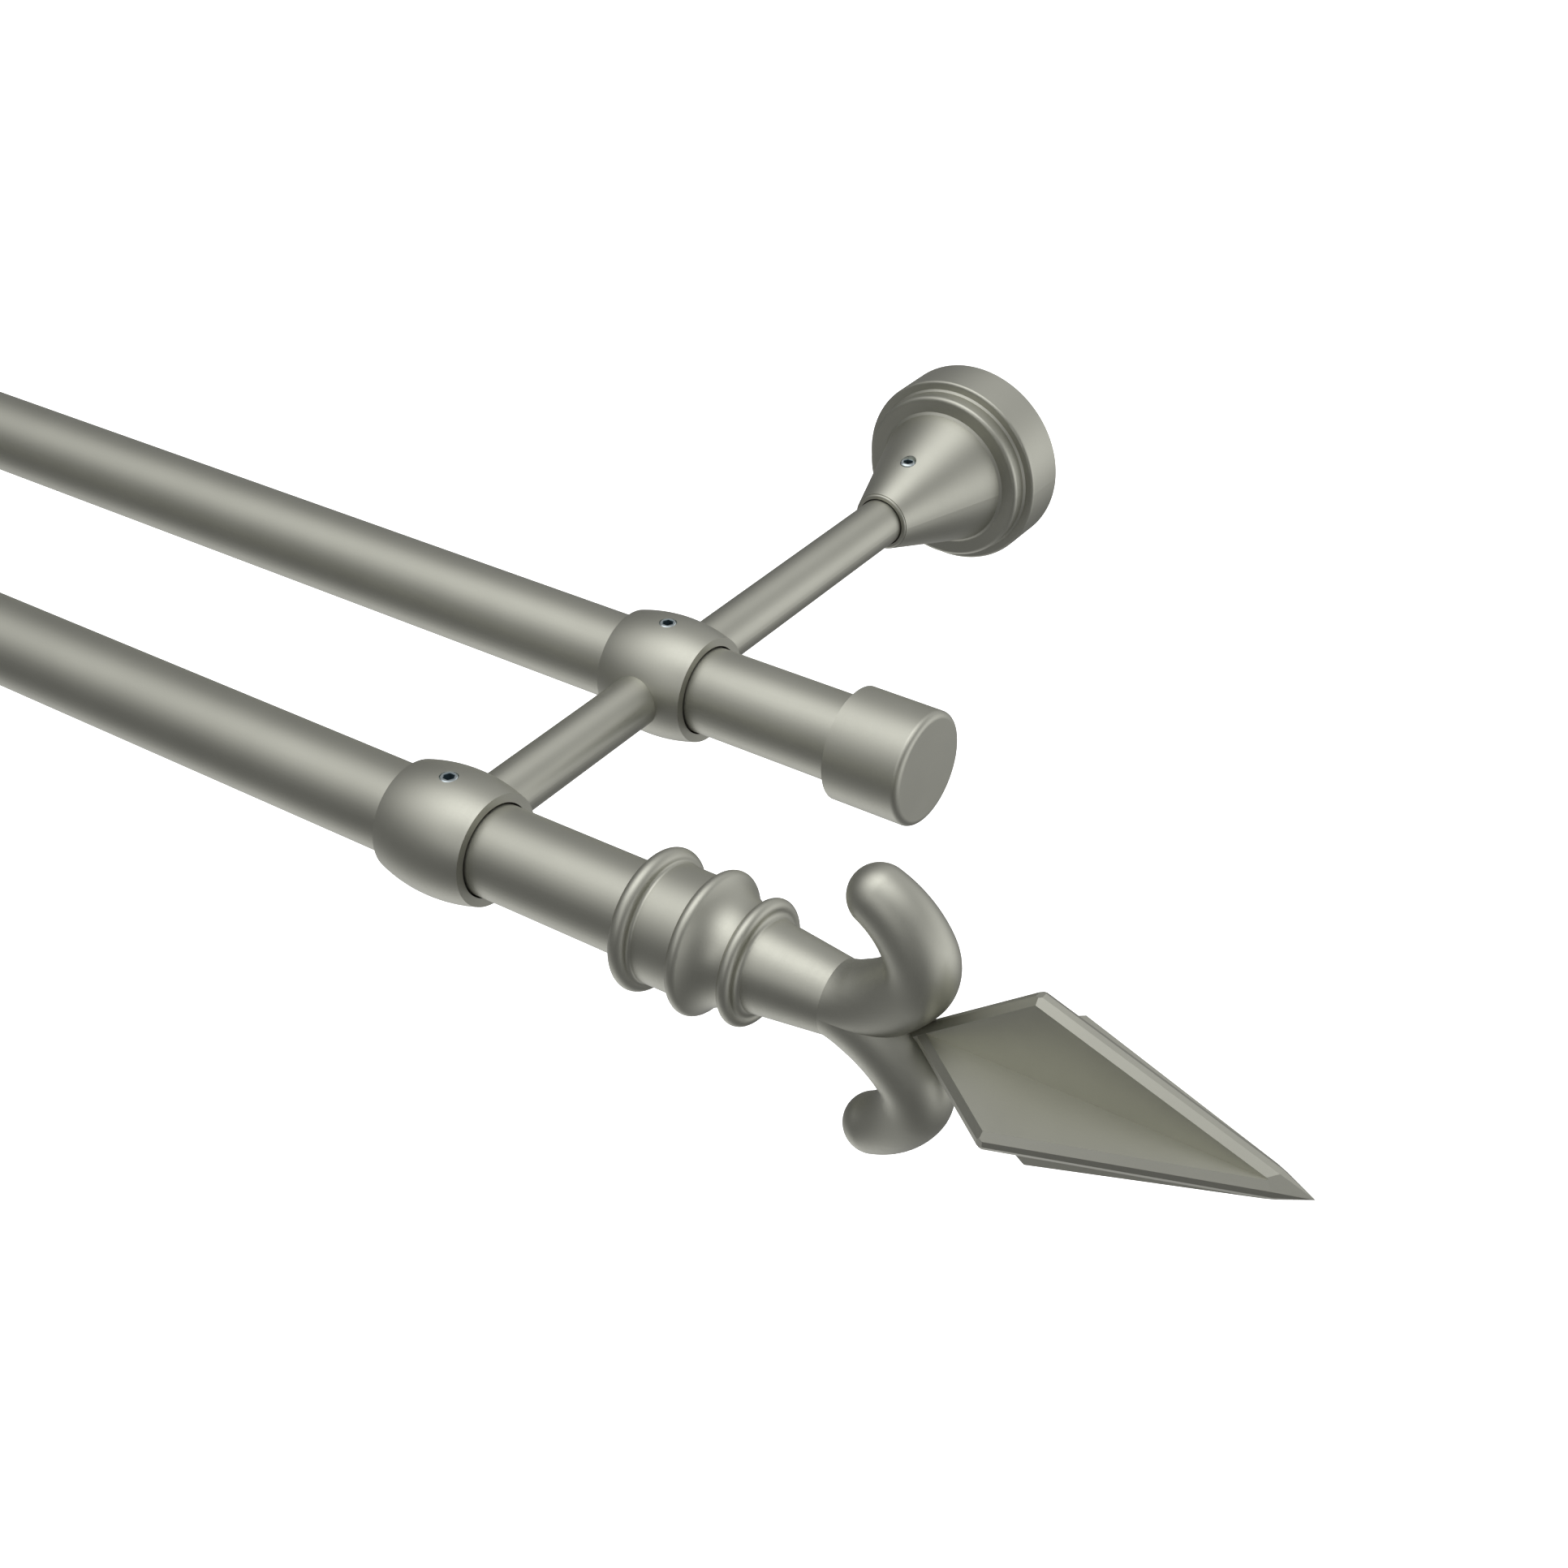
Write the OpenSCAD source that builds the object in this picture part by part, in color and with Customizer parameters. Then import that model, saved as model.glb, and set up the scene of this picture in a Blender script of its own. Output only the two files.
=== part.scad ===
// Double curtain rod with two wall brackets, spear finials and end caps.
// Millimetres. The wall is the plane y = 0 and the rods run along X in front of it, at -Y, with +Z up.
// The origin is on the wall, midway between the brackets, at the height of both rods.

/* [Rods] */
// Outside diameter of both rods
rod_d = 20; // [18:1:22]
// Wall thickness of the rod tubes
rod_wall = 1.2; // [0.8:0.1:1.6]
// Length of the front rod
rod_l = 1000; // [600:10:2400]
// Distance from the wall to the axis of the front rod
front_reach = 210.5; // [190:0.5:260]
// Distance from the wall to the axis of the rear rod
rear_reach = 136; // [120:0.5:140]

/* [Bracket] */
// Diameter of the bracket arms
arm_d = 12; // [10:0.5:12]
// Width of the barrel rings, along the rod
ring_w = 22.5; // [20:0.5:24]
// Radius of the arc that makes the barrel shape of the rings
ring_barrel_r = 38.3; // [30:0.1:60]
// Radial gap between a rod and the bore of its ring
ring_gap = 0.4; // [0.3:0.05:0.6]
// Radial gap round the arm in the rose
arm_gap = 0.3; // [0.3:0.05:0.5]
// Thread diameter of the grub screws
grub_d = 4; // [3:0.5:5]
// Width across flats of the socket in a grub screw
grub_hex = 2.2; // [1.5:0.1:2.5]

/* [Wall fixing] */
// Diameter of the wall plate
plate_d = 49.8; // [48:0.2:60]
// Thickness of the wall plate
plate_t = 12.1; // [10:0.1:16]
// Height between the two screw holes of a wall plate
plate_hole_pitch = 35; // [34:0.5:36]
// Diameter of the screw holes
plate_hole_d = 4.5; // [3.5:0.1:5]
// Diameter of the rose's base disc
rose_d = 44.4; // [44:0.2:48]
// Depth of the rose's base disc
rose_disc_t = 4.4; // [3:0.1:6]
// Distance from the wall to the mouth of the rose
rose_reach = 46.5; // [44:0.5:56]

/* [Finial] */
// Distance from a bracket's centre to the finial collar
collar_x = 50.5; // [46:0.5:60]
// Length of the collar's bore, over the end of the rod
socket_l = 19; // [15:0.5:19]
// Length of the collar and its neck
collar_l = 44.3; // [44.3:0.1:60]
// Radius of the neck where the scrolls start
neck_end_r = 7.75; // [7:0.05:8.5]
// Radius of the rounded end of a scroll
scroll_end_r = 6.2; // [5:0.1:7]
// Length of the spear head
spear_l = 80.4; // [60:0.1:110]
// Distance from the spear's tail to its widest place
spear_wide_x = 26.2; // [20:0.1:30]
// Width of the spear head over two opposite blades
spear_w = 40.2; // [30:0.1:50]
// Thickness of each blade
blade_t = 4.3; // [3:0.1:5]
// Thickness left along each blade's edge, between its two bevels
edge_t = 1.3; // [0.8:0.1:2]
// Width of the bevel along each blade's edge
bevel_w = 1.1; // [0.6:0.1:1.5]

/* [End cap] */
// Distance from a bracket's centre to the open end of the cap
cap_x = 50; // [46:0.5:60]
// Length of the cap
cap_l = 18.9; // [16:0.1:24]
// Diameter of the cap
cap_d = 26.2; // [25:0.1:30]
// Thickness of the cap's end wall
cap_floor_t = 2.9; // [2:0.1:4]

/* [Hidden] */
$fn = 96;
eps = 0.01;
thread_gap = 0.05;
rod_r = rod_d / 2;
arm_r = arm_d / 2;
grub_r = grub_d / 2;

// Rods and brackets along X
rod_end_gap = 0.5;
half_span = rod_l / 2 - collar_x - socket_l + rod_end_gap;
rear_rod_half_l = half_span + cap_x + cap_l - cap_floor_t - rod_end_gap;

// Rings and arms
ring_bore_r = rod_r + ring_gap;
ring_r = rod_r + 4.03;
ring_round = 1;
rear_arm_end = 18;
arm_screw_r = 2.5;
arm_screw_head_r = 4.5;
arm_screw_head_t = 2.3;
arm_screw_l = 16;
arm_screw_sink = 0.15;
grub_socket_depth = 1.8;
grub_chamfer = 0.3;
grub_tip_gap = 0.07;
grub_sink = 0.06;
rose_grub_y = 33.7;

// Wall plate and rose
arm_bore_r = arm_r + arm_gap;
plate_floor_t = 4;
plate_round = 0.7;
countersink_r = 4;
spigot_r = 13;
spigot_l = 8.4;
spigot_end_gap = 0.5;
rose_round = 1;
rose_skirt = 0.5;
rose_base_r = 17.65;
rose_mouth_r = 7.35;
mouth_round = 0.5;

// Collar beads: distance from the collar's open end, radius of the bead's centre, radius of the bead
bead_1 = [1.9, rod_r + 3.1, 1.9];
bead_2 = [15.3, rod_r + 3.42, 1.58];
bead_3 = [25.9, rod_r + 1.6, 1.5];
collar_r = rod_r + 2.5;
collar_setback = 0.5;
cove_r = 9.25;
cove_x = 24;
fillet_1_r = 0.8;
fillet_3_r = 1.25;
neck_start_r = rod_r - 0.2;
stud_r = 3;
stud_hole_l = 15;
stud_l = 28;
plug_l = 20;
socket_gap = 0.2;

// Scroll centreline: a first direction, then three arcs, each a radius and an angle turned through
scroll_turn = 12.7;
scroll_arcs = [[28.4, 39.8], [7.7, 62.9], [18.6, 39]];
scroll_swell = 1.2;
scroll_sides = 24;
scroll_steps = 10;
scroll_cap_steps = 5;
scroll_blend_steps = 4;

// Spear head: from the end of the neck to its tail, the corner nipped off each blade, the length of the
// steeper point, and how far past that point the blades' long edges would meet
tail_gap = 15.6;
spear_nip = 0.35;
point_l = 6.6;
edge_overrun = 1.7;

// End cap
cap_round = 1.5;
cap_gap = 0.15;

// ---- Placing and turning ----

// Puts a right-hand piece at its bracket, or mirrors it for the left-hand one.
module at_side(side) {
    mirror([side < 0 ? 1 : 0, 0, 0]) translate([half_span, 0, 0]) children();
}

// Moves a piece from the bracket's centre line on the wall to the axis of the front or the rear rod.
module at_front() {
    translate([0, -front_reach, 0]) children();
}

module at_rear() {
    translate([0, -rear_reach, 0]) children();
}

// Turns a profile of radius and distance round the X axis, with distance running to +X.
module turn_x() {
    rotate([0, 90, 0]) rotate_extrude() children();
}

// Turns a profile of radius and distance round the Y axis, with distance running away from the wall.
module turn_y() {
    rotate([90, 0, 0]) rotate_extrude() children();
}

// A round bar along Y between two distances from the wall.
module bar_y(r, from, to) {
    translate([0, -from, 0]) rotate([90, 0, 0]) cylinder(r = r, h = to - from);
}

// A round bar along X between two distances.
module bar_x(r, from, to) {
    translate([from, 0, 0]) rotate([0, 90, 0]) cylinder(r = r, h = to - from);
}

// The waste outside a rounded corner of a profile. The corner is at the largest radius and distance.
module corner_waste(radius, distance, round) {
    translate([radius - round, distance - round]) difference() {
        square(round + 1);
        circle(r = round);
    }
}

// ---- Rods ----

module rod(half_l) {
    color("#a3a396") difference() {
        bar_x(rod_r, -half_l, half_l);
        bar_x(rod_r - rod_wall, -half_l - 1, half_l + 1);
    }
}

module front_rod() {
    at_front() rod(rod_l / 2);
}

module rear_rod() {
    at_rear() rod(rear_rod_half_l);
}

// ---- Wall plate and rose ----

module wall_plate() {
    color("#98988c") difference() {
        union() {
            turn_y() difference() {
                square([plate_d / 2, plate_t]);
                corner_waste(plate_d / 2, plate_t, plate_round);
            }
            bar_y(spigot_r, plate_t - eps, plate_t + spigot_l);
        }
        bar_y(arm_bore_r, plate_floor_t, plate_t + spigot_l + 1);
        for (side = [-1, 1]) translate([0, 0, side * plate_hole_pitch / 2]) {
            bar_y(plate_hole_d / 2, -1, plate_t + 1);
            translate([0, -plate_t, 0]) rotate([-90, 0, 0])
                cylinder(r1 = countersink_r, r2 = plate_hole_d / 2, h = countersink_r - plate_hole_d / 2);
        }
    }
}

module rose_profile() {
    disc_front = plate_t + rose_disc_t;
    slope = (rose_base_r - rose_mouth_r) / (rose_reach - disc_front);
    difference() {
        union() {
            difference() {
                polygon([
                    [0, plate_t], [rose_d / 2 + rose_skirt, plate_t], [rose_d / 2, plate_t + rose_skirt],
                    [rose_d / 2, disc_front], [0, disc_front]
                ]);
                corner_waste(rose_d / 2, disc_front, rose_round);
            }
            polygon([
                [0, disc_front - eps], [rose_base_r + rose_skirt, disc_front - eps],
                [rose_base_r + rose_skirt, disc_front],
                [rose_base_r - slope * rose_skirt, disc_front + rose_skirt],
                [rose_mouth_r, rose_reach], [0, rose_reach]
            ]);
        }
        corner_waste(rose_mouth_r, rose_reach, mouth_round);
    }
}

module rose() {
    color("#a3a396") difference() {
        turn_y() rose_profile();
        bar_y(arm_bore_r, plate_t - 1, rose_reach + 1);
        bar_y(spigot_r + thread_gap, plate_t - 1, plate_t + spigot_l + spigot_end_gap);
        translate([0, -rose_grub_y, 0]) cylinder(r = grub_r + thread_gap, h = rose_d / 2);
    }
}

// ---- Rings and arms ----

// The waste outside a rounded edge of the barrel. The edge's arc shares its tangents with the barrel's
// arc, which is centred at arc_centre, and with the ring's flat end.
module barrel_edge_waste(arc_centre) {
    edge_x = ring_w / 2 - ring_round;
    edge_r = sqrt(pow(ring_barrel_r - ring_round, 2) - pow(edge_x, 2)) + arc_centre;
    difference() {
        polygon([
            [edge_r, edge_x], [2 * edge_r - arc_centre, 2 * edge_x],
            [2 * ring_r, ring_w / 2 + 1], [edge_r, ring_w / 2 + 1]
        ]);
        translate([edge_r, edge_x]) circle(r = ring_round);
    }
}

// Profile of a ring: a barrel arc between flat ends, with rounded edges.
module barrel_profile() {
    arc_centre = ring_r - ring_barrel_r;
    difference() {
        intersection() {
            translate([arc_centre, 0]) circle(r = ring_barrel_r, $fn = 720);
            translate([0, -ring_w / 2]) square([ring_r + 1, ring_w]);
        }
        for (m = [0, 1]) mirror([0, m]) barrel_edge_waste(arc_centre);
    }
}

module barrel() {
    turn_x() barrel_profile();
}

// The screw that holds an arm, from inside a ring's bore. It points to +Y, or to -Y with a way of -1.
module arm_screw(way, gap = 0) {
    head_y = rod_r + ring_gap + arm_screw_sink;
    mirror([0, way < 0 ? 1 : 0, 0]) {
        translate([0, head_y, 0]) rotate([-90, 0, 0])
            cylinder(r1 = arm_screw_head_r + gap, r2 = arm_screw_r + gap, h = arm_screw_head_t);
        translate([0, head_y, 0]) rotate([-90, 0, 0])
            cylinder(r = arm_screw_r + gap, h = arm_screw_l + gap);
    }
}

// The seat for that screw, cleared through to the ring's bore.
module arm_screw_seat(way) {
    arm_screw(way, thread_gap);
    mirror([0, way < 0 ? 1 : 0, 0]) rotate([-90, 0, 0])
        cylinder(r = arm_screw_head_r + thread_gap, h = rod_r + ring_gap + arm_screw_sink + eps);
}

module ring(ways) {
    color("#9b9b8f") difference() {
        barrel();
        bar_x(ring_bore_r, -ring_w, ring_w);
        cylinder(r = grub_r + thread_gap, h = ring_r + 1);
        for (way = ways) arm_screw_seat(way);
    }
}

module front_ring() {
    at_front() ring([1]);
}

module rear_ring() {
    at_rear() ring([-1, 1]);
}

// The bar between the two rings, its ends cut to fit round them.
module front_arm() {
    color("#a3a396") difference() {
        bar_y(arm_r, rear_reach, front_reach);
        at_front() barrel();
        at_rear() barrel();
        at_front() arm_screw(1, thread_gap);
        at_rear() arm_screw(-1, thread_gap);
    }
}

// The bar from the rear ring into the rose.
module rear_arm() {
    color("#a3a396") difference() {
        bar_y(arm_r, rear_arm_end, rear_reach);
        at_rear() barrel();
        at_rear() arm_screw(1, thread_gap);
    }
}

module arm_screws() {
    color("#7d7f80") {
        at_front() arm_screw(1);
        at_rear() arm_screw(-1);
        at_rear() arm_screw(1);
    }
}

// A grub screw standing upright between two heights, with its hexagon socket in the top.
module grub_screw(bottom, top) {
    color("#c3cbd0") difference() {
        rotate_extrude() polygon([
            [0, bottom], [grub_r, bottom], [grub_r, top - grub_chamfer], [grub_r - grub_chamfer, top], [0, top]
        ]);
        translate([0, 0, top - grub_socket_depth]) rotate([0, 0, 30])
            cylinder(r = grub_hex / sqrt(3), h = grub_socket_depth + 1, $fn = 6);
    }
}

module ring_grub_screw() {
    grub_screw(rod_r + grub_tip_gap, ring_r - grub_sink);
}

module front_grub_screw() {
    at_front() ring_grub_screw();
}

module rear_grub_screw() {
    at_rear() ring_grub_screw();
}

// The screw's top is level with the middle of the sloping hole that it stands in.
module rose_grub_screw() {
    slope = (rose_base_r - rose_mouth_r) / (rose_reach - plate_t - rose_disc_t);
    top = rose_mouth_r + slope * (rose_reach - rose_grub_y) - grub_sink;
    translate([0, -rose_grub_y, 0]) grub_screw(arm_r + grub_tip_gap, top);
}

// ---- Finial ----

// A bead on the collar's profile.
module bead(spec) {
    translate([spec[1], spec[0]]) circle(r = spec[2]);
}

// The metal between a bead and a hollow arc that is tangent to it and centred at hollow_x.
module hollow_blend(spec, hollow_x, hollow_centre_r, hollow_r) {
    reach = norm([hollow_x - spec[0], hollow_centre_r - spec[1]]);
    join_r = spec[1] + spec[2] * (hollow_centre_r - spec[1]) / reach;
    difference() {
        translate([0, spec[0]]) square([join_r, hollow_x - spec[0]]);
        translate([hollow_centre_r, hollow_x]) circle(r = hollow_r, $fn = 360);
    }
}

// Where a fillet of radius round stands, beside a bead and on a surface of radius floor_r.
function fillet_x(spec, floor_r, round) =
    spec[0] + sqrt(pow(spec[2] + round, 2) - pow(floor_r + round - spec[1], 2));

// Radius of the tapered neck at a distance from the collar's open end.
function neck_r(x) =
    neck_start_r + (neck_end_r - neck_start_r) * (x - bead_3[0]) / (collar_l - bead_3[0]);

module collar_profile() {
    cove_centre_r = bead_2[1] + sqrt(pow(cove_r + bead_2[2], 2) - pow(cove_x - bead_2[0], 2));
    fillet_1_x = fillet_x(bead_1, collar_r, fillet_1_r);
    fillet_3_floor = neck_r(bead_3[0] + bead_3[2] + fillet_3_r);
    fillet_3_x = fillet_x(bead_3, fillet_3_floor, fillet_3_r);
    bead(bead_1);
    bead(bead_2);
    bead(bead_3);
    translate([0, collar_setback]) square([collar_r, bead_2[0] - collar_setback]);
    hollow_blend(bead_1, fillet_1_x, collar_r + fillet_1_r, fillet_1_r);
    hollow_blend(bead_2, cove_x, cove_centre_r, cove_r);
    translate([0, cove_x]) square([cove_centre_r - cove_r, bead_3[0] - cove_x]);
    hollow_blend(bead_3, fillet_3_x, fillet_3_floor + fillet_3_r, fillet_3_r);
    polygon([[0, bead_3[0]], [neck_start_r, bead_3[0]], [neck_end_r, collar_l], [0, collar_l]]);
}

module finial_collar() {
    color("#a09f92") at_front() translate([collar_x, 0, 0]) difference() {
        turn_x() collar_profile();
        bar_x(rod_r + socket_gap, -1, socket_l);
        bar_x(stud_r, 0, socket_l + stud_hole_l);
    }
}

module finial_stud() {
    color("#7d7f80") at_front()
        bar_x(stud_r, collar_x + socket_l + stud_hole_l - stud_l, collar_x + socket_l + stud_hole_l);
}

module rod_plug() {
    plug_end = collar_x + socket_l - rod_end_gap;
    color("#8b8c88") at_front() difference() {
        bar_x(rod_r - rod_wall, plug_end - plug_l, plug_end);
        bar_x(stud_r + thread_gap, plug_end - plug_l - 1, plug_end + 1);
    }
}

// Centreline of the upper scroll, in the plane of X and Z, from the end of the neck.
function arc_shift(radius, from, turn) =
    radius * [sin(from + turn) - sin(from), cos(from) - cos(from + turn)];
function turned(k) = k == 0 ? scroll_turn : turned(k - 1) + scroll_arcs[k - 1][1];
function arc_start(k) =
    k == 0 ? [0, 0] : arc_start(k - 1) + arc_shift(scroll_arcs[k - 1][0], turned(k - 1), scroll_arcs[k - 1][1]);
function arc_length(k) = scroll_arcs[k][0] * scroll_arcs[k][1] * PI / 180;
function length_before(k) = k == 0 ? 0 : length_before(k - 1) + arc_length(k - 1);
function bar_radius(s) = neck_end_r + (scroll_end_r - neck_end_r) * s + scroll_swell * s * (1 - s);

// One ring of the bar: its centre, the direction it faces and its radius.
function bar_ring(k, part) = [
    arc_start(k) + arc_shift(scroll_arcs[k][0], turned(k), part * scroll_arcs[k][1]),
    turned(k) + part * scroll_arcs[k][1],
    bar_radius((length_before(k) + part * arc_length(k)) / length_before(3))
];
scroll_end = bar_ring(2, 1);

bar_rings = concat(
    [for (k = [0:2], i = [0:scroll_steps - 1]) bar_ring(k, i / scroll_steps)],
    [for (i = [0:scroll_cap_steps - 1]) let (a = 90 * i / scroll_cap_steps) [
        scroll_end[0] + scroll_end_r * sin(a) * [cos(scroll_end[1]), sin(scroll_end[1])],
        scroll_end[1], scroll_end_r * cos(a)
    ]]
);

// The first rings turn gradually, so that the bar starts flat against the end of the neck.
function ring_points(i) = let (
    c = bar_rings[i][0],
    tilt = bar_rings[i][1] * min(1, i / scroll_blend_steps),
    r = bar_rings[i][2]
) [for (j = [0:scroll_sides - 1]) let (a = 360 * j / scroll_sides)
    [c[0] - r * cos(a) * sin(tilt), r * sin(a), c[1] + r * cos(a) * cos(tilt)]];

module scroll_bar() {
    n = scroll_sides;
    last = len(bar_rings) - 1;
    tip = scroll_end[0] + scroll_end_r * [cos(scroll_end[1]), sin(scroll_end[1])];
    points = concat(
        [for (i = [0:last], p = ring_points(i)) p],
        [[tip[0], 0, tip[1]]]
    );
    faces = concat(
        [[for (j = [0:n - 1]) j]],
        [for (i = [0:last - 1], j = [0:n - 1]) let (k = (j + 1) % n)
            [i * n + j, (i + 1) * n + j, (i + 1) * n + k, i * n + k]],
        [for (j = [0:n - 1]) [last * n + j, len(points) - 1, last * n + (j + 1) % n]]
    );
    polyhedron(points = points, faces = faces, convexity = 6);
}

// The upper scroll, cut flat where it lies on the lower one.
module upper_scroll() {
    color("#96968a") at_front() translate([collar_x + collar_l, 0, 0]) intersection() {
        scroll_bar();
        translate([0, -neck_end_r - 1, 0]) cube([60, 2 * neck_end_r + 2, 60]);
    }
}

module lower_scroll() {
    mirror([0, 0, 1]) upper_scroll();
}

// Cuts away what lies above a plane through the given point. The plane is turned by an angle in the
// X and Z plane, then leans towards +Y.
module edge_cut(point, angle, lean) {
    waste = 3 * spear_l;
    translate(point) rotate([0, -angle, 0]) rotate([-lean, 0, 0])
        translate([-waste / 2, -waste / 2, 0]) cube(waste);
}

// One upright blade, pointing along +X: an edge with a narrow flat between two bevels all the way round.
module blade_plate() {
    half_w = spear_w / 2;
    angles = [atan(half_w / spear_wide_x), -atan(half_w / (spear_l + edge_overrun - spear_wide_x))];
    lean = atan(2 * bevel_w / (blade_t - edge_t));
    difference() {
        translate([-1, -blade_t / 2, -half_w - 1]) cube([spear_l + 2, blade_t, spear_w + 2]);
        for (m = [0, 1]) mirror([0, 0, m]) {
            edge_cut([spear_wide_x, 0, half_w - spear_nip], (angles[0] + angles[1]) / 2, 0);
            for (angle = angles) {
                edge_cut([spear_wide_x, 0, half_w], angle, 0);
                for (n = [0, 1]) mirror([0, n, 0])
                    edge_cut([spear_wide_x, edge_t / 2, half_w], angle, lean);
            }
        }
    }
}

// Two crossed blades with an eight-sided point. The tail stands in the fork between the scrolls.
module spear_head() {
    point_h = spear_w / 2 * (point_l + edge_overrun) / (spear_l + edge_overrun - spear_wide_x);
    corner_h = (point_h + edge_t / 2) * cos(45);
    color("#93937f") at_front() translate([collar_x + collar_l + tail_gap, 0, 0]) difference() {
        union() {
            blade_plate();
            rotate([90, 0, 0]) blade_plate();
        }
        for (k = [0:3]) {
            rotate([90 * k, 0, 0]) edge_cut([spear_l, 0, 0], -atan(point_h / point_l), 0);
            rotate([90 * k + 45, 0, 0]) edge_cut([spear_l, 0, 0], -atan(corner_h / point_l), 0);
        }
    }
}

// ---- End cap ----

module end_cap() {
    color("#9b9b8f") at_rear() translate([cap_x, 0, 0]) difference() {
        turn_x() difference() {
            square([cap_d / 2, cap_l]);
            corner_waste(cap_d / 2, cap_l, cap_round);
        }
        bar_x(rod_r + cap_gap, -1, cap_l - cap_floor_t);
    }
}

// ---- Nodes ----

front_rod();
rear_rod();
for (hand = [["right", 1], ["left", -1]]) {
    name = hand[0];
    side = hand[1];
    at_side(side) wall_plate();
    at_side(side) rose();
    at_side(side) rose_grub_screw();
    at_side(side) rear_arm();
    at_side(side) rear_ring();
    at_side(side) rear_grub_screw();
    at_side(side) front_arm();
    at_side(side) front_ring();
    at_side(side) front_grub_screw();
    at_side(side) arm_screws();
    at_side(side) rod_plug();
    at_side(side) finial_stud();
    at_side(side) finial_collar();
    at_side(side) upper_scroll();
    at_side(side) lower_scroll();
    at_side(side) spear_head();
    at_side(side) end_cap();
}
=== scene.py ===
"""Looks for the double curtain rod: satin nickel pieces in a plain pale studio."""
import math

import bmesh
import bpy
from mathutils import Matrix, Vector


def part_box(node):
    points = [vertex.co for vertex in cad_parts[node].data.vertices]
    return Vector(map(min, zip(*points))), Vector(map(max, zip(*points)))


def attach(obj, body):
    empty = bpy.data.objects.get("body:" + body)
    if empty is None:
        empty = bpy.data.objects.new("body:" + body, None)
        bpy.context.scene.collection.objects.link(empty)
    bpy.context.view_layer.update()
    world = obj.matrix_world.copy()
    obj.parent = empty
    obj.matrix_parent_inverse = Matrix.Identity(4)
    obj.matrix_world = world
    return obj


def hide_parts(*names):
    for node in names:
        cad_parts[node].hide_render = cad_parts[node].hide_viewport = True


MM = 0.001
SIDES = {"right": 1, "left": -1}

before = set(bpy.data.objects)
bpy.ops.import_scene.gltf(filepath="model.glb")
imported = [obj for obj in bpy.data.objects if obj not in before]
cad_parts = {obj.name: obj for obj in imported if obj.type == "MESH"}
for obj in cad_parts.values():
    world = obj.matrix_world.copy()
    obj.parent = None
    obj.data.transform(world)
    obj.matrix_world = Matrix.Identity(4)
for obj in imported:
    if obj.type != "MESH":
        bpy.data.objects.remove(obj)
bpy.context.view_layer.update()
collection = bpy.context.scene.collection

# ---- Camera: the photograph's viewpoint, in metres in the shared frame ----
CAMERA_AT = Vector((0.712, -0.501, 0.283))
CAMERA_FORWARD = Vector((-0.467, 0.683, -0.563)).normalized()
CAMERA_RIGHT = Vector((0.826, 0.563, -0.002))
SENSOR_WIDTH = 36.0
LENS = 54.4
NEAREST = 0.01
FARTHEST = 80.0

camera_data = bpy.data.cameras.new("camera")
camera_data.sensor_width = SENSOR_WIDTH
camera_data.sensor_fit = "HORIZONTAL"
camera_data.lens = LENS
camera_data.clip_start = NEAREST
camera_data.clip_end = FARTHEST
camera = bpy.data.objects.new("camera", camera_data)
collection.objects.link(camera)
camera_x = (CAMERA_RIGHT - CAMERA_FORWARD * CAMERA_RIGHT.dot(CAMERA_FORWARD)).normalized()
camera_axes = Matrix((camera_x, camera_x.cross(CAMERA_FORWARD), -CAMERA_FORWARD)).transposed()
camera.matrix_world = Matrix.Translation(CAMERA_AT) @ camera_axes.to_4x4()
bpy.context.scene.camera = camera

# ---- Studio: a pale floor, a pale backdrop and soft light ----
STUDIO_CENTRE = Vector((0.42, -0.14, 0.0))
FLOOR_Z = -0.95
FLOOR_RADIUS = 12.0
FLOOR_PAINT = (0.93, 0.93, 0.93)
BACKDROP_RADIUS = 13.0
BLACK = (0.0, 0.0, 0.0)
WHITE = (1.0, 1.0, 1.0, 1.0)

# Soft lights of a plain studio: where each stands, how tightly it gathers there and its strength
STUDIO_LIGHTS = {
    "overhead": ((0, 0, 1), 8, 2),
    "front left": ((-1, -1, 2), 8, 1),
    "right": ((1, 0, 0), 8, 1),
    "back right": ((1, 1, 0), 8, 1),
    "back": ((0, 1, 0.5), 8, 0.5),
    "front": ((0, -1, 0.5), 30, 1),
    "floor bounce": ((-0.5, 0, -1), 8, 1),
}
AMBIENT = 0.15


def studio_light():
    """A room of even light with the soft lights added to it."""
    world = bpy.data.worlds.new("studio")
    world.use_nodes = True
    nodes, links = world.node_tree.nodes, world.node_tree.links
    background = nodes["Background"]
    background.inputs["Color"].default_value = WHITE
    coordinate = nodes.new("ShaderNodeTexCoord")
    total = nodes.new("ShaderNodeValue")
    total.outputs[0].default_value = AMBIENT
    for way, gather, strength in STUDIO_LIGHTS.values():
        facing = nodes.new("ShaderNodeVectorMath")
        facing.operation = "DOT_PRODUCT"
        facing.inputs[1].default_value = Vector(way).normalized()
        links.new(coordinate.outputs["Generated"], facing.inputs[0])
        ahead, glow, added = (nodes.new("ShaderNodeMath") for _ in range(3))
        ahead.operation = "MAXIMUM"
        ahead.inputs[1].default_value = 0.0
        links.new(facing.outputs["Value"], ahead.inputs[0])
        glow.operation = "POWER"
        glow.inputs[1].default_value = gather
        links.new(ahead.outputs["Value"], glow.inputs[0])
        added.operation = "MULTIPLY_ADD"
        added.inputs[1].default_value = strength
        links.new(glow.outputs["Value"], added.inputs[0])
        links.new(total.outputs[0], added.inputs[2])
        total = added
    links.new(total.outputs[0], background.inputs["Strength"])
    return world


bpy.context.scene.world = studio_light()
bpy.context.scene.view_settings.view_transform = "Standard"
bpy.context.scene.view_settings.look = "None"


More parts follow.
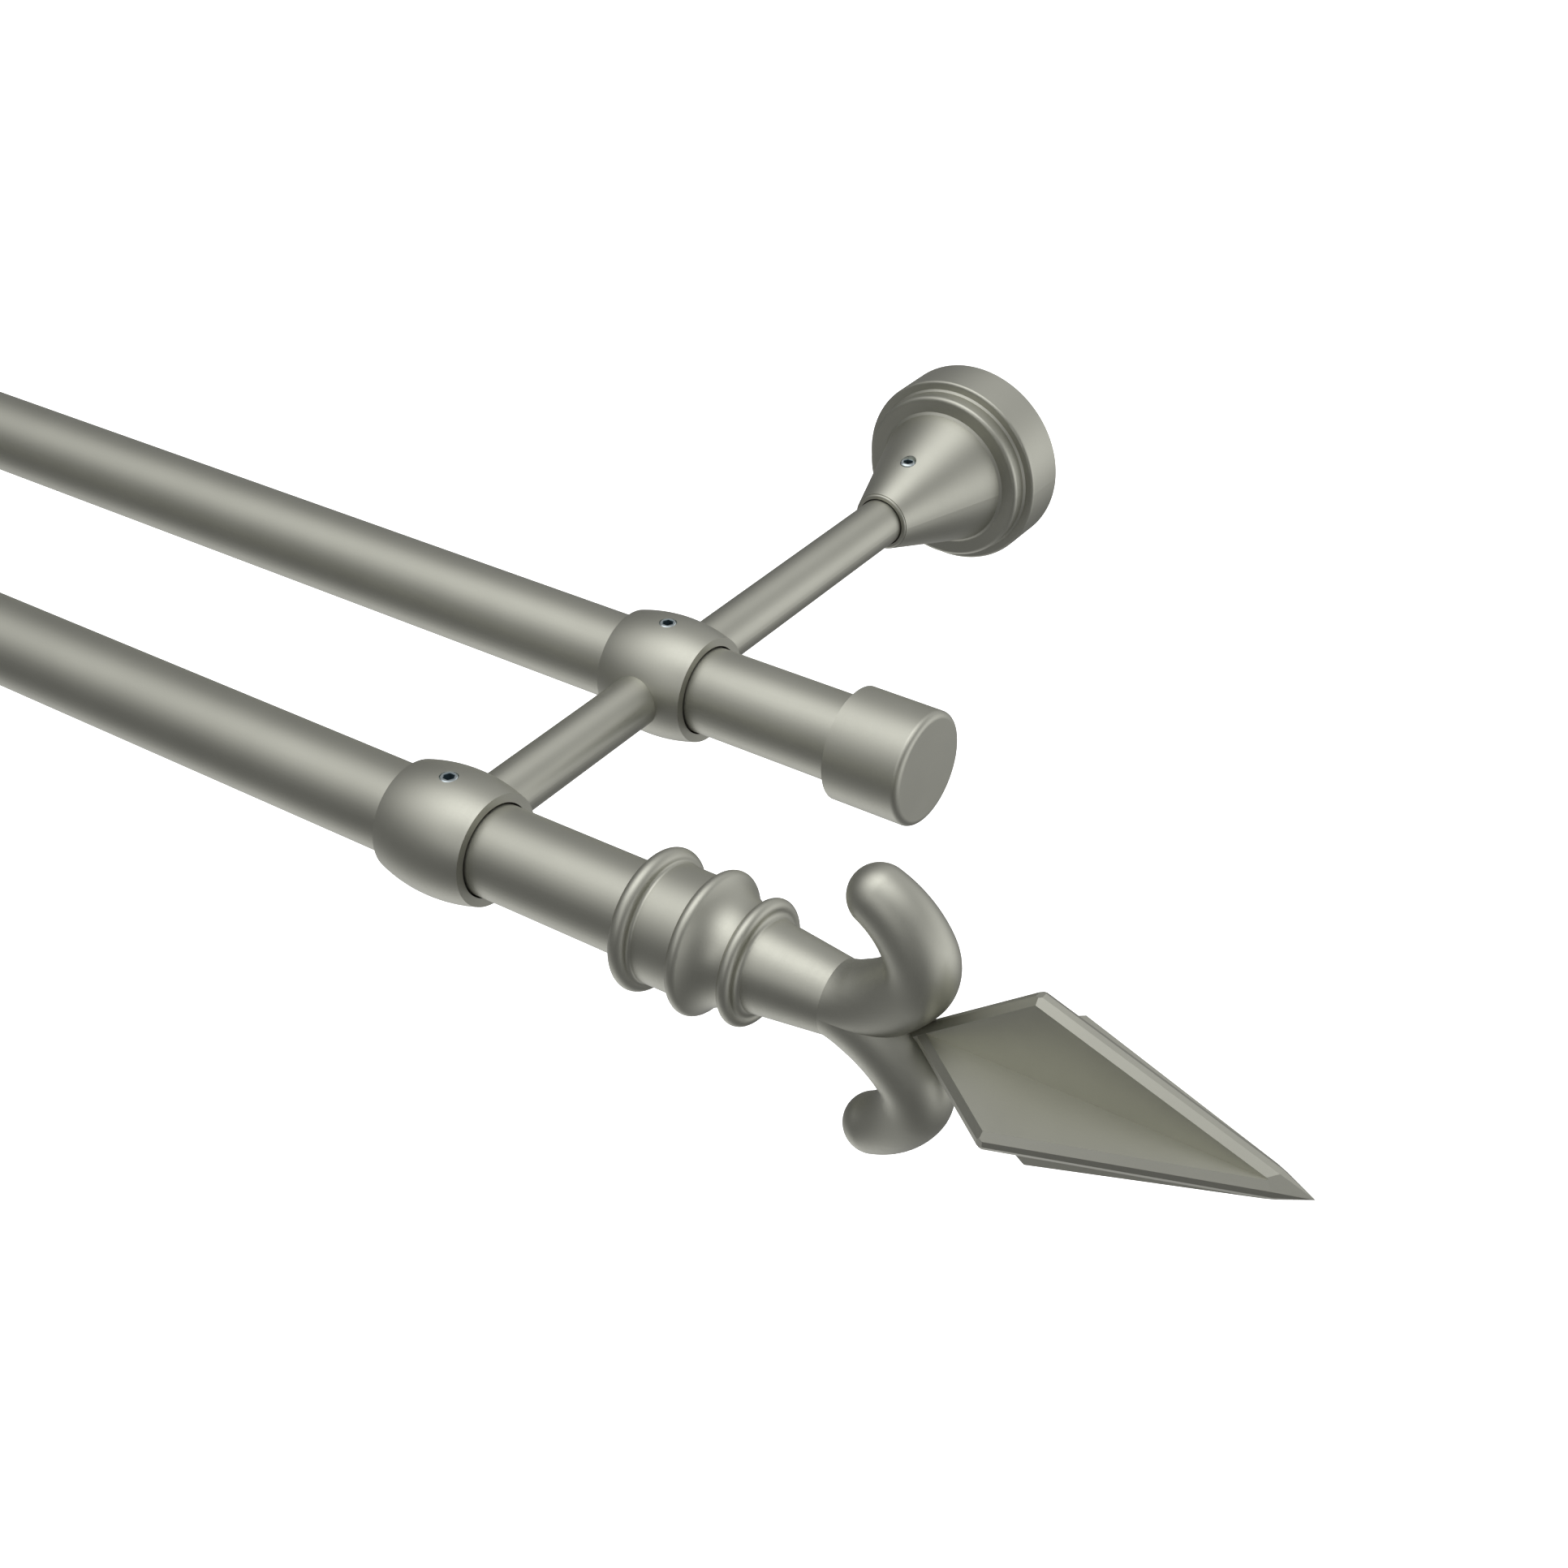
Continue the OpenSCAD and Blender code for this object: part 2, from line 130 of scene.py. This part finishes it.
def studio_surface(name, mesh, colour):
    """A floor or backdrop that glows white and that the metal doesn't mirror."""
    material = bpy.data.materials.new(name)
    material.use_nodes = True
    shader = material.node_tree.nodes["Principled BSDF"]
    shader.inputs["Base Color"].default_value = (*colour, 1.0)
    shader.inputs["Roughness"].default_value = 0.9
    shader.inputs["Specular IOR Level"].default_value = 0.0
    shader.inputs["Emission Color"].default_value = WHITE
    shader.inputs["Emission Strength"].default_value = 1.0
    mesh.materials.append(material)
    surface = bpy.data.objects.new(name, mesh)
    collection.objects.link(surface)
    surface.visible_glossy = False
    return surface


def disc_mesh(name, radius, z, sides=96):
    made = bmesh.new()
    bmesh.ops.create_circle(made, cap_ends=True, segments=sides, radius=radius)
    bmesh.ops.translate(made, verts=made.verts, vec=(STUDIO_CENTRE.x, STUDIO_CENTRE.y, z))
    mesh = bpy.data.meshes.new(name)
    made.to_mesh(mesh)
    made.free()
    return mesh


def dome_mesh(name, radius):
    made = bmesh.new()
    bmesh.ops.create_uvsphere(made, u_segments=64, v_segments=32, radius=radius)
    bmesh.ops.reverse_faces(made, faces=made.faces)
    mesh = bpy.data.meshes.new(name)
    made.to_mesh(mesh)
    made.free()
    return mesh


studio_surface("floor", disc_mesh("floor", FLOOR_RADIUS, FLOOR_Z), FLOOR_PAINT)
backdrop = studio_surface("backdrop", dome_mesh("backdrop", BACKDROP_RADIUS), BLACK)
backdrop.visible_diffuse = False
backdrop.visible_shadow = False


# ---- Materials ----
NOISE_LOW = 0.3
NOISE_HIGH = 0.7
CLOUD_SCALE = 45.0
CLOUDING = 0.03
GRAIN_SCALE = 2600.0
GRAIN_ROUGHNESS = 0.02
GRAIN_HEIGHT = 0.000004
MARK_ROUGHNESS = 0.015
MARK_HEIGHT = 0.000003
LATHE_SCALE = 3500.0


class Nodes:
    """A short way to write a material's node tree."""

    def __init__(self, name):
        self.material = bpy.data.materials.new(name)
        self.material.use_nodes = True
        self.tree = self.material.node_tree
        self.shader = self.tree.nodes["Principled BSDF"]

    def add(self, kind, **settings):
        node = self.tree.nodes.new(kind)
        for key, value in settings.items():
            setattr(node, key, value)
        return node

    def link(self, output, target):
        self.tree.links.new(output, target)

    def object_point(self, offset=(0.0, 0.0, 0.0), scale=(1.0, 1.0, 1.0)):
        coordinate = self.add("ShaderNodeTexCoord")
        mapping = self.add("ShaderNodeMapping", vector_type="POINT")
        mapping.inputs["Location"].default_value = tuple(-o * s for o, s in zip(offset, scale))
        mapping.inputs["Scale"].default_value = scale
        self.link(coordinate.outputs["Object"], mapping.inputs["Vector"])
        return mapping.outputs["Vector"]

    def turned_point(self, axis, at):
        """Distance along an axis and from it, as X and Y, for marks left by a lathe."""
        point = self.object_point(offset=at)
        split = self.add("ShaderNodeSeparateXYZ")
        self.link(point, split.inputs["Vector"])
        along, across = ("X", "Y") if axis == "X" else ("Y", "X")
        flat = self.add("ShaderNodeCombineXYZ")
        self.link(split.outputs[across], flat.inputs["X"])
        self.link(split.outputs["Z"], flat.inputs["Y"])
        length = self.add("ShaderNodeVectorMath", operation="LENGTH")
        self.link(flat.outputs["Vector"], length.inputs[0])
        joined = self.add("ShaderNodeCombineXYZ")
        self.link(split.outputs[along], joined.inputs["X"])
        self.link(length.outputs["Value"], joined.inputs["Y"])
        return joined.outputs["Vector"]

    def noise(self, vector, scale, detail=2.0, roughness=0.5):
        node = self.add("ShaderNodeTexNoise")
        node.inputs["Scale"].default_value = scale
        node.inputs["Detail"].default_value = detail
        node.inputs["Roughness"].default_value = roughness
        self.link(vector, node.inputs["Vector"])
        return node.outputs["Fac"]

    def spread(self, value, low, high):
        """Stretches the middle of a noise to run from low to high."""
        node = self.add("ShaderNodeMapRange")
        node.inputs["From Min"].default_value = NOISE_LOW
        node.inputs["From Max"].default_value = NOISE_HIGH
        node.inputs["To Min"].default_value = low
        node.inputs["To Max"].default_value = high
        self.link(value, node.inputs["Value"])
        return node.outputs["Result"]

    def mix(self, factor, first, second):
        node = self.add("ShaderNodeMix", data_type="RGBA")
        self.link(factor, node.inputs["Factor"])
        node.inputs["A"].default_value = (*first, 1.0)
        node.inputs["B"].default_value = (*second, 1.0)
        return node.outputs["Result"]

    def bump(self, height, distance, strength=1.0, normal=None):
        node = self.add("ShaderNodeBump")
        node.inputs["Strength"].default_value = strength
        node.inputs["Distance"].default_value = distance
        self.link(height, node.inputs["Height"])
        if normal is not None:
            self.link(normal, node.inputs["Normal"])
        return node.outputs["Normal"]


def satin_metal(name, colour, roughness, marks, grain=1.0):
    """Plated metal with a satin grain, faint tool marks and slight clouding.

    marks gives the tool marks' vector and scale.
    """
    n = Nodes(name)
    n.shader.inputs["Metallic"].default_value = 1.0
    point = n.object_point()
    cloud = n.noise(point, CLOUD_SCALE, detail=3.0)
    fine = n.noise(point, GRAIN_SCALE, detail=2.0)
    lighter = tuple(c * (1 + CLOUDING) for c in colour)
    darker = tuple(c * (1 - CLOUDING) for c in colour)
    n.link(n.mix(n.spread(cloud, 0.0, 1.0), darker, lighter), n.shader.inputs["Base Color"])
    vector, scale = marks(n)
    lines = n.noise(vector, scale, detail=2.0)
    total = n.add("ShaderNodeMath", operation="ADD")
    n.link(n.spread(fine, -GRAIN_ROUGHNESS * grain, GRAIN_ROUGHNESS * grain), total.inputs[0])
    n.link(n.spread(lines, roughness - MARK_ROUGHNESS, roughness + MARK_ROUGHNESS), total.inputs[1])
    n.link(total.outputs["Value"], n.shader.inputs["Roughness"])
    satin = n.bump(fine, GRAIN_HEIGHT * grain)
    n.link(n.bump(lines, MARK_HEIGHT * grain, normal=satin), n.shader.inputs["Normal"])
    return n.material


def marks_along(scale):
    """Marks of a surface brushed along one axis: the noise is drawn out along it."""
    return lambda n: (n.object_point(scale=scale), 1.0)


def marks_turned(axis, at):
    """Marks of a surface turned on a lathe."""
    return lambda n: (n.turned_point(axis, at), LATHE_SCALE)


NICKEL = (0.50, 0.50, 0.44)
NICKEL_BLADE = (0.49, 0.49, 0.43)
STEEL = (0.36, 0.37, 0.38)
ZINC = (0.72, 0.80, 0.83)
# The socket colour is painted shade: a darkened zinc standing in for the shade inside the deep hexagonal
# recess.
SOCKET_PAINTED_SHADE = (0.17, 0.23, 0.26)
SATIN = 0.45
DRAWN_X = marks_along((60.0, 3000.0, 3000.0))
DRAWN_Y = marks_along((3000.0, 60.0, 3000.0))
BRUSHED_BLADE = marks_along((120.0, 3000.0, 3000.0))
EVEN_COARSE = marks_along((900.0, 900.0, 900.0))
EVEN_FINE = marks_along((2000.0, 2000.0, 2000.0))

node_box = {name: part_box(name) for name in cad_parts}


def middle(name):
    low, high = node_box[name]
    return (low + high) / 2


front_axis = middle("front_rod")
rear_axis = middle("rear_rod")
materials = {}
for rod in ("front_rod", "rear_rod"):
    materials[rod] = satin_metal("nickel_" + rod, NICKEL, SATIN, DRAWN_X)
for side in SIDES:
    arm_axis = middle(side + "_rear_arm")
    turned_y = marks_turned("Y", arm_axis)
    turned_front = marks_turned("X", front_axis)
    turned_rear = marks_turned("X", rear_axis)
    plate = satin_metal("nickel_plate_" + side, NICKEL, SATIN, turned_y)
    arm = satin_metal("nickel_arm_" + side, NICKEL, SATIN, DRAWN_Y)
    front = satin_metal("nickel_front_turned_" + side, NICKEL, SATIN, turned_front)
    rear = satin_metal("nickel_rear_turned_" + side, NICKEL, SATIN, turned_rear)
    scroll = satin_metal("nickel_scroll_" + side, NICKEL, SATIN, EVEN_COARSE)
    blade = satin_metal("nickel_blade_" + side, NICKEL_BLADE, SATIN, BRUSHED_BLADE)
    steel = satin_metal("plain_steel_" + side, STEEL, 0.35, turned_front)
    zinc = satin_metal("bright_zinc_" + side, ZINC, 0.25, EVEN_FINE, grain=0.5)
    for part, material in {
        "wall_plate": plate, "rose": plate, "rear_arm": arm, "front_arm": arm,
        "front_ring": front, "finial_collar": front, "rear_ring": rear, "end_cap": rear,
        "upper_scroll": scroll, "lower_scroll": scroll, "spear_head": blade,
        "arm_screws": steel, "finial_stud": steel, "rod_plug": steel,
        "rose_grub_screw": zinc, "rear_grub_screw": zinc, "front_grub_screw": zinc,
    }.items():
        materials[side + "_" + part] = material

for name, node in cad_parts.items():
    node.data.materials.clear()
    node.data.materials.append(materials[name])

# ---- Scrolls: smooth tapered bars in place of the faceted CAD ones ----
NECK_END_R = 7.75 * MM
SCROLL_END_R = 6.14 * MM
SCROLL_SWELL = 1.2
SCROLL_FIRST_TURN = 12.7
SCROLL_ARCS = [(28.4, 39.8), (7.7, 62.9), (18.6, 39.0)]
SCROLL_BLEND = 0.4
ARC_STEPS = 28
TIP_STEPS = 14
BAR_SIDES = 72
BAR_SHARP_EDGE = math.radians(35)


def scroll_stations():
    """Rings of the bar from the neck's end, each as its centre (along, up), tilt and radius."""
    x = z = 0.0
    heading = math.radians(SCROLL_FIRST_TURN)
    total = sum(radius * math.radians(turn) for radius, turn in SCROLL_ARCS)
    done = 0.0
    stations = []
    for number, (radius, turn_degrees) in enumerate(SCROLL_ARCS):
        turn = math.radians(turn_degrees)
        for step in range(ARC_STEPS):
            share = step / ARC_STEPS
            angle = heading + turn * share
            blend = min(1.0, share / SCROLL_BLEND) if number == 0 else 1.0
            s = (done + radius * turn * share) / total
            taper = (SCROLL_END_R - NECK_END_R) * s
            bar_radius = NECK_END_R + taper + SCROLL_SWELL * MM * s * (1 - s)
            centre = (x + radius * MM * (math.sin(angle) - math.sin(heading)),
                      z + radius * MM * (math.cos(heading) - math.cos(angle)))
            stations.append((centre, angle * blend, bar_radius))
        x += radius * MM * (math.sin(heading + turn) - math.sin(heading))
        z += radius * MM * (math.cos(heading) - math.cos(heading + turn))
        heading += turn
        done += radius * turn
    for step in range(TIP_STEPS):
        a = math.pi / 2 * step / TIP_STEPS
        reach = SCROLL_END_R * math.sin(a)
        centre = (x + reach * math.cos(heading), z + reach * math.sin(heading))
        stations.append((centre, heading, SCROLL_END_R * math.cos(a)))
    tip = (x + SCROLL_END_R * math.cos(heading), z + SCROLL_END_R * math.sin(heading))
    return stations, tip


def scroll_mesh(name, neck_end, side, up):
    """The bar from the neck's end outwards, cut flat where it lies on its mirror image."""
    stations, tip = scroll_stations()
    made = bmesh.new()
    rings = []
    for (along, height), tilt, radius in stations:
        ring = []
        for k in range(BAR_SIDES):
            a = 2 * math.pi * k / BAR_SIDES
            ring.append(made.verts.new((
                along - radius * math.cos(a) * math.sin(tilt),
                radius * math.sin(a),
                height + radius * math.cos(a) * math.cos(tilt),
            )))
        rings.append(ring)
    made.faces.new(rings[0])
    for first, second in zip(rings, rings[1:]):
        for k in range(BAR_SIDES):
            j = (k + 1) % BAR_SIDES
            made.faces.new((first[k], second[k], second[j], first[j]))
    end = made.verts.new((tip[0], 0.0, tip[1]))
    for k in range(BAR_SIDES):
        made.faces.new((rings[-1][k], end, rings[-1][(k + 1) % BAR_SIDES]))
    geometry = list(made.verts) + list(made.edges) + list(made.faces)
    cut = bmesh.ops.bisect_plane(
        made, geom=geometry, plane_co=(0, 0, 0), plane_no=(0, 0, -1), clear_outer=True)
    edges = [g for g in cut["geom_cut"] if isinstance(g, bmesh.types.BMEdge)]
    bmesh.ops.holes_fill(made, edges=edges, sides=0)
    bmesh.ops.scale(made, vec=(side, 1, up), verts=made.verts)
    bmesh.ops.translate(made, vec=neck_end, verts=made.verts)
    bmesh.ops.recalc_face_normals(made, faces=made.faces)
    mesh = bpy.data.meshes.new(name)
    made.to_mesh(mesh)
    made.free()
    mesh.shade_smooth()
    mesh.set_sharp_from_angle(angle=BAR_SHARP_EDGE)
    return mesh


for side, way in SIDES.items():
    low, high = node_box[side + "_finial_collar"]
    neck_end = Vector((high.x if way > 0 else low.x, front_axis.y, front_axis.z))
    for level, up in (("upper", 1), ("lower", -1)):
        cad_name = f"{side}_{level}_scroll"
        mesh = scroll_mesh(cad_name + "_bar", neck_end, way, up)
        mesh.materials.append(materials[cad_name])
        bar = bpy.data.objects.new(cad_name + "_bar", mesh)
        collection.objects.link(bar)
        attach(bar, side + "_finial")
        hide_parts(cad_name)

# ---- Grub screws: bright rims round sockets painted dark as shade, in place of the CAD screws ----
RIM_STEPS = 48
SOCKET_SHARE = 0.56
SOCKET_DEPTH = 1.8 * MM
SOCKET_CHAMFER = 0.08 * MM
SOCKET_FLOOR_SHARE = 0.9
SOCKET_POINT = 0.5 * MM
SCREW_CHAMFER = 0.3 * MM
SCREW_TIP_SHARE = 0.5
SCREW_CUP = 0.25 * MM
SCREW_SHARP_EDGE = math.radians(28)

# The socket's inside gets this darkened metal: painted shade of the recess, not a different finish.
painted_shade_socket_metal = satin_metal("painted_shade_socket", SOCKET_PAINTED_SHADE, 0.50, EVEN_FINE)


def hexagon_radius(apothem, angle):
    """Distance from a hexagon's middle to its side, in the direction of an angle."""
    share = math.pi / 3
    return apothem / math.cos(angle % share - share / 2)


def grub_screw_mesh(name, low, high):
    """A headless screw with a chamfered rim, a hexagonal socket and a cupped tip.

    It stands in the box from low to high.
    """
    radius = (high.x - low.x) / 2
    height = high.z - low.z
    apothem = radius * SOCKET_SHARE
    made = bmesh.new()

    def ring(z, distance):
        turns = [2 * math.pi * k / RIM_STEPS for k in range(RIM_STEPS)]
        return [made.verts.new((distance(a) * math.cos(a), distance(a) * math.sin(a), z)) for a in turns]

    def plain(value):
        return lambda angle: value

    def hexagon(value):
        return lambda angle: hexagon_radius(value, angle)

    rings = [
        ring(0.0, plain(radius * SCREW_TIP_SHARE)),
        ring(SCREW_CHAMFER, plain(radius)),
        ring(height - SCREW_CHAMFER, plain(radius)),
        ring(height, plain(radius - SCREW_CHAMFER)),
        ring(height, hexagon(apothem + SOCKET_CHAMFER)),
        ring(height - SOCKET_CHAMFER, hexagon(apothem)),
        ring(height - SOCKET_DEPTH, hexagon(apothem)),
        ring(height - SOCKET_DEPTH, plain(apothem * SOCKET_FLOOR_SHARE)),
    ]
    # Faces from the socket's chamfer inwards take the socket's painted shade.
    first_painted_shade = 4
    for number, (inner, outer) in enumerate(zip(rings, rings[1:])):
        for k in range(RIM_STEPS):
            j = (k + 1) % RIM_STEPS
            face = made.faces.new((inner[k], inner[j], outer[j], outer[k]))
            face.material_index = 1 if number >= first_painted_shade else 0
    socket_end = height - SOCKET_DEPTH - SOCKET_POINT
    # The socket's floor takes the painted shade as well; the tip's cup keeps the plain zinc.
    for end, z, painted_shade_index in ((rings[0], SCREW_CUP, 0), (rings[-1], socket_end, 1)):
        centre = made.verts.new((0.0, 0.0, z))
        for k in range(RIM_STEPS):
            made.faces.new((end[k], end[(k + 1) % RIM_STEPS], centre)).material_index = painted_shade_index
    bmesh.ops.translate(made, vec=((low.x + high.x) / 2, (low.y + high.y) / 2, low.z), verts=made.verts)
    bmesh.ops.recalc_face_normals(made, faces=made.faces)
    mesh = bpy.data.meshes.new(name)
    made.to_mesh(mesh)
    made.free()
    mesh.shade_smooth()
    mesh.set_sharp_from_angle(angle=SCREW_SHARP_EDGE)
    return mesh


for side in SIDES:
    for place in ("rose", "rear", "front"):
        cad_name = f"{side}_{place}_grub_screw"
        mesh = grub_screw_mesh(cad_name + "_turned", *node_box[cad_name])
        mesh.materials.append(materials[cad_name])
        mesh.materials.append(painted_shade_socket_metal)
        screw = bpy.data.objects.new(cad_name + "_turned", mesh)
        collection.objects.link(screw)
        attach(screw, f"{side}_{place}_screw")
        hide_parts(cad_name)
